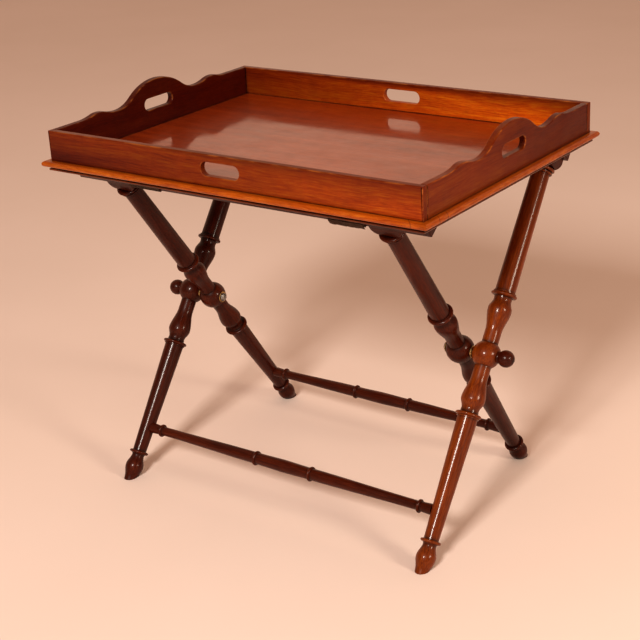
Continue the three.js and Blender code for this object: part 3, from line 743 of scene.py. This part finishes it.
def rail_section(name):
    """The rail's section as (y, height up the leg), counter-clockwise. Its top is planed level."""
    half = RAIL_WIDTH / 2
    middle = (RAIL_TOP - PIVOT) / math.cos(LEG_TILT)
    lean = math.tan(LEG_TILT) * half * (1 if name == "back" else -1)
    return [(-half, RAIL_FOOT), (half, RAIL_FOOT), (half, middle + lean), (-half, middle - lean)]


def along_x(points, start):
    """From slab's (u, v, depth) to a piece laid along X."""
    return [(start + w, u, v) for u, v, w in points]


def upper_rail(name):
    points, faces, wear = slab(rounded(rail_section(name), 2.2), [], 2 * RAIL_HALF, 1.6)
    place = place_frame(name)
    own = along_x(points, -RAIL_HALF)
    piece(f"{name}_upper_rail", own, faces, place, 0, f"{name}_frame", "stand", [f"{name}_rail"], wear)


def leg_block(name, end, way):
    top = RAIL_FOOT - FIT_GAP
    radius = 16
    outline = [(BLOCK_HALF, top), (-BLOCK_HALF, top)]
    for centre, first in ((-BLOCK_HALF + radius, math.pi), (BLOCK_HALF - radius, 1.5 * math.pi)):
        for i in range(13):
            angle = first + math.pi / 2 * i / 12
            height = BLOCK_FOOT + radius + radius * math.sin(angle)
            outline.append((centre + radius * math.cos(angle), height))
    points, faces, wear = slab(outline, [], BLOCK_WIDTH, 1.8)
    own = [(u, w - BLOCK_WIDTH / 2, v) for u, v, w in points]
    place = place_frame(name) @ Matrix.Translation((way * LEG_X[name] * MM, 0, 0))
    node = f"{name}_block_{end}"
    piece(f"{name}_leg_block_{end}", own, faces, place, 0, f"{name}_frame", "stand", [node], wear)


def peg_ends(name, end, way):
    """A peg through the block, cut off a hair proud of it."""
    half = BLOCK_WIDTH / 2 + 0.25
    profile = [(-half, 2.2), (-half + 0.25, 2.9), (half - 0.25, 2.9), (half, 2.2)]
    points, faces, _, _ = lathe(profile, 28)
    height = BLOCK_FOOT + BLOCK_THICKNESS / 2
    own = [(u, w, v + height) for u, v, w in points]
    darkening = [0.7 if abs(w) < half - 0.1 else 0.0 for _, _, w in points]
    place = place_frame(name) @ Matrix.Translation((way * LEG_X[name] * MM, 0, 0))
    node = f"{name}_peg_{end}"
    piece(f"{name}_tenon_peg_{end}", own, faces, place, 1, f"{name}_frame", "stand", [node], None, darkening)


def lower_stretcher(name):
    shoulder = LEG_X[name] - stretcher_leg_radius() + 1.5
    half = [(0, 12.5)]
    run_to(half, 60, 11.5, 10)
    bead(half, 66, 3, 14.5, 11.5)
    run_to(half, shoulder - 34, 9, 10)
    bead(half, shoulder - 28, 3, 13, 9.5)
    run_to(half, shoulder, 10.5, 8)
    profile = [(-height, radius) for height, radius in reversed(half[1:])] + half
    points, faces, wear, darkening = lathe(profile, 48)
    own = [(w, u, v - STRETCHER_DROP) for u, v, w in points]
    node = f"{name}_stretcher"
    place = place_frame(name)
    body = f"{name}_frame"
    piece(f"{name}_turned_stretcher", own, faces, place, 0, body, "stand", [node], wear, darkening)


for name in ("front", "back"):
    upper_rail(name)
    lower_stretcher(name)
    for end, way in ENDS:
        turned_leg(name, end, way)
        leg_block(name, end, way)
        peg_ends(name, end, way)


# ---- Pivots ----


def pivot_piece(label, end, way, profile, slot, sides=56, darkening=True):
    points, faces, wear, darkened = lathe(profile, sides)
    own = [(way * w, u, v + PIVOT) for u, v, w in points]
    node = f"pivot_{label}_{end}"
    kept = darkened if darkening else None
    place = Matrix.Identity(4)
    piece(f"{label}_on_axis_{end}", own, faces, place, 0, "front_frame", slot, [node], wear, kept)


def span_along_x(node):
    low, high = box_mm(node)
    return low.x, high.x


for end, way in ENDS:
    bolt_in, bolt_out = span_along_x("pivot_bolt_right")
    head = [(bolt_in, 2.0), (bolt_in + 0.25, 4.2), (bolt_in + 1.2, 6.8)]
    head += [(bolt_in + 2.4, 8.1), (bolt_in + 3.5, 8.5)]
    head += [(bolt_in + 4.8, 8.5), (bolt_in + 5, 8.2), (bolt_in + 5, 4), (bolt_out, 4)]
    pivot_piece("bolt", end, way, head, "steel", darkening=False)
    for label in ("washer", "spacer"):
        start, stop = span_along_x(f"pivot_{label}_right")
        soft = 0.35
        disc = [(start, 4.3), (start, 11.5 - soft), (start + soft, 11.5)]
        disc += [(stop - soft, 11.5), (stop, 11.5 - soft), (stop, 4.3)]
        pivot_piece(label, end, way, disc, "brass", darkening=False)
    foot, tip = span_along_x("pivot_knob_right")
    knob = [(foot, 4.5), (foot, 11), (foot + 0.8, 11.5), (foot + 2.2, 11.2)]
    run_to(knob, foot + 5, 9.5, 6)
    centre = tip - KNOB_RADIUS
    start = math.acos(9.5 / KNOB_RADIUS)
    angles = np.linspace(-start, math.pi / 2 - 0.02, 30)
    knob += [(centre + KNOB_RADIUS * math.sin(a), KNOB_RADIUS * math.cos(a)) for a in angles]
    pivot_piece("knob", end, way, knob, "stand", 64)


# ---- Webbing ----


def round_the_rail(name, distance, steps=7):
    """The path of cloth pulled round a rail, a distance off its faces, counter-clockwise."""
    corners = [Vector(c) for c in rail_section(name)]
    path = []
    for i, corner in enumerate(corners):
        a = (corner - corners[i - 1]).normalized()
        b = (corners[(i + 1) % 4] - corner).normalized()
        first, last = math.atan2(-a.x, a.y), math.atan2(-b.x, b.y)
        turn = (last - first) % (2 * math.pi)
        for k in range(steps + 1):
            angle = first + turn * k / steps
            path.append(corner + Vector((math.cos(angle), math.sin(angle))) * distance)
        after = corner + Vector((math.cos(last), math.sin(last))) * distance
        other = corners[(i + 1) % 4] + Vector((math.cos(last), math.sin(last))) * distance
        path += [after.lerp(other, t) for t in (0.2, 0.4, 0.6, 0.8)]
    return path


def webbing_turn(name, end, way):
    """One turn of webbing round a rail."""
    inner, outer = round_the_rail(name, 0.15), round_the_rail(name, 1.7)
    travelled = [0.0]
    for a, b in zip(outer, outer[1:]):
        travelled.append(travelled[-1] + (b - a).length)
    rows, columns = len(outer), 26
    points, grain = [], []
    for layer, path in ((0, inner), (1, outer)):
        for k in range(columns):
            across = (k / (columns - 1) * 2 - 1) * STRAP_HALF_WIDTH
            for i, p in enumerate(path):
                ripple = 0.16 * noise.noise(Vector((across * 0.25, travelled[i] * 0.25, way * 7 + 3 * layer)))
                fray = 0.5 * noise.noise(Vector((travelled[i] * 0.4, across, way * 3.0)))
                edge = abs(k / (columns - 1) * 2 - 1) ** 12
                shift = ripple if layer else 0.0
                own = p + (p - sum_of(path)).normalized() * shift
                points.append((way * STRAP_X + across + fray * edge * 0.8, own.x, own.y))
                grain.append((travelled[i] * MM, across * MM, 0.0))
    faces = []
    for k in range(columns - 1):
        for i in range(rows):
            j = (i + 1) % rows
            a, b = k * rows, (k + 1) * rows
            faces.append((a + i, a + j, b + j, b + i))
            a, b = a + columns * rows, b + columns * rows
            faces.append((a + i, b + i, b + j, a + j))
    for k in (0, columns - 1):
        a, b = k * rows, (k + columns) * rows
        faces += [(a + i, a + (i + 1) % rows, b + (i + 1) % rows, b + i) for i in range(rows)]
    node = f"{name}_strap_wrap_{end}"
    place = place_frame(name)
    obj = piece(f"{name}_webbing_turn_{end}", points, faces, place, 0, f"{name}_frame", "webbing", [node])
    cloth_grain(obj, grain)


def sum_of(path):
    return sum(path, Vector((0, 0))) / len(path)


def cloth_grain(obj, coordinates):
    """Cloth carries its weave along its own length and width."""
    layer = obj.data.attributes["grain"]
    layer.data.foreach_set("vector", np.array(coordinates, np.float32).ravel())


def frayed_end(name, end, way):
    """The webbing's torn end, hanging a little below the rail's outer lower edge."""
    outside = -1 if name == "front" else 1
    corner_y = outside * (RAIL_WIDTH / 2)
    seed = {"front": 0, "back": 40}[name] + way * 11
    columns, rows = 60, 12
    points, grain, faces = [], [], []
    for layer in (0, 1):
        for k in range(columns):
            across = (k / (columns - 1) * 2 - 1) * (STRAP_HALF_WIDTH - 1.5)
            waves = 3.2 * noise.noise(Vector((across * 0.09, seed, 0)))
            threads = 1.5 * noise.noise(Vector((across * 0.7, seed, 5)))
            torn = 4.6 + waves + threads
            torn = max(torn, 1.2)
            for i in range(rows):
                share = i / (rows - 1)
                height = RAIL_FOOT + 9 - share * (9 + torn)
                bulge = 1.9 + 0.7 * noise.noise(Vector((across * 0.12, height * 0.2, seed))) + 0.5 * share
                thick = 1.5 * (1 - 0.45 * share**4)
                out = bulge + (thick if layer else 0)
                points.append((way * STRAP_X + across, corner_y + outside * out, height))
                grain.append((height * MM, across * MM, 0.0))
    for k in range(columns - 1):
        for i in range(rows - 1):
            a, b = k * rows + i, (k + 1) * rows + i
            faces.append((a, a + 1, b + 1, b))
            a, b = a + columns * rows, b + columns * rows
            faces.append((a, b, b + 1, a + 1))
    shift = columns * rows
    rim = [k * rows for k in range(columns)] + [(columns - 1) * rows + i for i in range(1, rows)]
    rim += [k * rows + rows - 1 for k in range(columns - 2, -1, -1)] + [i for i in range(rows - 2, 0, -1)]
    faces += [(a, b, b + shift, a + shift) for a, b in zip(rim, rim[1:] + rim[:1])]
    place = place_frame(name)
    obj = piece(f"{name}_frayed_end_{end}", points, faces, place, 0, f"{name}_frame", "webbing", [])
    cloth_grain(obj, grain)


def tacks(name, end, way):
    """Cut tacks through the webbing into the rail's underside, where nothing rests on their heads."""
    for number, share in enumerate((-0.8, -0.28, 0.3, 0.79), 1):
        size = random.uniform(2.5, 3.1)
        profile = [(0, size * 0.9), (0.35, size), (0.8, size * 0.86), (1.25, size * 0.5), (1.4, 0.3)]
        points, faces, _, _ = lathe(profile, 20)
        off_centre = random.uniform(-1, 1)
        x = way * STRAP_X + share * STRAP_HALF_WIDTH
        own = [(x + u, off_centre + v, RAIL_FOOT - 1.75 - w) for u, v, w in points]
        piece(f"{name}_tack_{end}_{number}", own, faces, place_frame(name), 0, f"{name}_frame", "steel", [])


def webbing_span(end, way):
    """The free length between the rails, sagging slightly."""
    rows, columns = 90, 22
    half = STRAP_HIGH.y + 0.6
    points, grain, faces = [], [], []
    for layer in (0, 1):
        for k in range(columns):
            across = (k / (columns - 1) * 2 - 1) * STRAP_HALF_WIDTH
            for i in range(rows):
                along = (i / (rows - 1) * 2 - 1) * half
                sag = 2.2 * (1 - (along / half) ** 2)
                waves = noise.noise(Vector((along * 0.03, across * 0.06, way * 5)))
                ripple = 0.35 * waves * (1 - (along / half) ** 8)
                threads = noise.noise(Vector((along * 0.3, way * 2.0, across)))
                fray = 0.5 * threads * abs(across / STRAP_HALF_WIDTH) ** 12
                z = STRAP_HIGH.z - 0.1 - sag - abs(ripple) - (0 if layer else 1.4)
                points.append((way * STRAP_X + across + fray, along, z))
                grain.append((along * MM, across * MM, 0.0))
    for k in range(columns - 1):
        for i in range(rows - 1):
            a, b = k * rows + i, (k + 1) * rows + i
            faces.append((a, a + 1, b + 1, b))
            a, b = a + columns * rows, b + columns * rows
            faces.append((a, b, b + 1, a + 1))
    shift = columns * rows
    rim = [k * rows for k in range(columns)] + [(columns - 1) * rows + i for i in range(1, rows)]
    rim += [k * rows + rows - 1 for k in range(columns - 2, -1, -1)] + [i for i in range(rows - 2, 0, -1)]
    faces += [(a, b, b + shift, a + shift) for a, b in zip(rim, rim[1:] + rim[:1])]
    node = f"strap_span_{end}"
    obj = piece(f"webbing_span_{end}", points, faces, Matrix.Identity(4), 0, None, "webbing", [node])
    cloth_grain(obj, grain)
    z = STRAP_HIGH.z * MM
    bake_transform(obj)


for end, way in ENDS:
    webbing_span(end, way)
    for name in ("front", "back"):
        webbing_turn(name, end, way)
        if (name, end) != ("front", "left"):
            frayed_end(name, end, way)
        tacks(name, end, way)


# ---- Floor, light and camera ----

floor_mesh = bpy.data.meshes.new("studio_floor")
reach = 16
corners = [(-reach, -reach, 0), (reach, -reach, 0), (reach, reach, 0), (-reach, reach, 0)]
floor_mesh.from_pydata(corners, [], [(0, 1, 2, 3)])
floor_mesh.materials.append(painted_floor("Pale floor"))
floor = bpy.data.objects.new("studio_floor", floor_mesh)
bpy.context.collection.objects.link(floor)
floor.location.z = -0.0005


def pale_room():
    """Dim towards the front, and pale like a lit wall behind the object, where its polish mirrors it."""
    world = bpy.data.worlds.new("Pale room")
    world.use_nodes = True
    tree = world.node_tree
    direction = tree.nodes.new("ShaderNodeTexCoord").outputs["Generated"]
    towards = tree.nodes.new("ShaderNodeVectorMath")
    towards.operation = "DOT_PRODUCT"
    towards.inputs[1].default_value = (-0.55, 0.83, 0.0)
    strength = tree.nodes.new("ShaderNodeMapRange")
    strength.interpolation_type = "SMOOTHSTEP"
    for socket, value in zip(strength.inputs[1:5], (-0.1, 0.8, 0.28, 0.85)):
        socket.default_value = value
    tree.links.new(direction, towards.inputs[0])
    tree.links.new(towards.outputs["Value"], strength.inputs[0])
    background = tree.nodes["Background"]
    background.inputs["Color"].default_value = (0.92, 0.61, 0.44, 1)
    tree.links.new(strength.outputs[0], background.inputs["Strength"])
    return world


bpy.context.scene.world = pale_room()


def soft_light(name, place, target, size, power, colour):
    light = bpy.data.lights.new(name, "AREA")
    light.shape = "RECTANGLE"
    light.size, light.size_y = size
    light.energy = power
    light.color = colour
    obj = bpy.data.objects.new(name, light)
    obj.location = place
    obj.rotation_euler = (Vector(target) - Vector(place)).to_track_quat("-Z", "Y").to_euler()
    obj.visible_camera = False
    bpy.context.collection.objects.link(obj)


soft_light("key", (1.1, -5.3, 4.1), (0.15, 0, 0.5), (1.3, 1.3), 330, (1.0, 0.93, 0.85))
soft_light("side", (3.4, -0.3, 1.5), (0.2, 0, 0.5), (0.8, 0.8), 50, (1.0, 0.86, 0.7))

# The camera's place and turn were worked out from the tray's corners. It is then lowered a little,
# so that the feet are in the picture too.
camera_data = bpy.data.cameras.new("camera")
camera_data.sensor_width = 36
camera_data.lens = 81.7
camera = bpy.data.objects.new("camera", camera_data)
right = Vector((0.81522, 0.57694, -0.05048))
up = Vector((-0.11779, 0.25052, 0.96092))
back = Vector((0.56704, -0.77742, 0.27219))
turn = Matrix((right, up, back)).transposed().to_4x4()
lowered = Matrix.Rotation(math.radians(-6.3), 4, "X")
camera.matrix_world = Matrix.Translation((1.56214, -2.1452, 1.40936)) @ turn @ lowered
bpy.context.collection.objects.link(camera)
bpy.context.scene.camera = camera
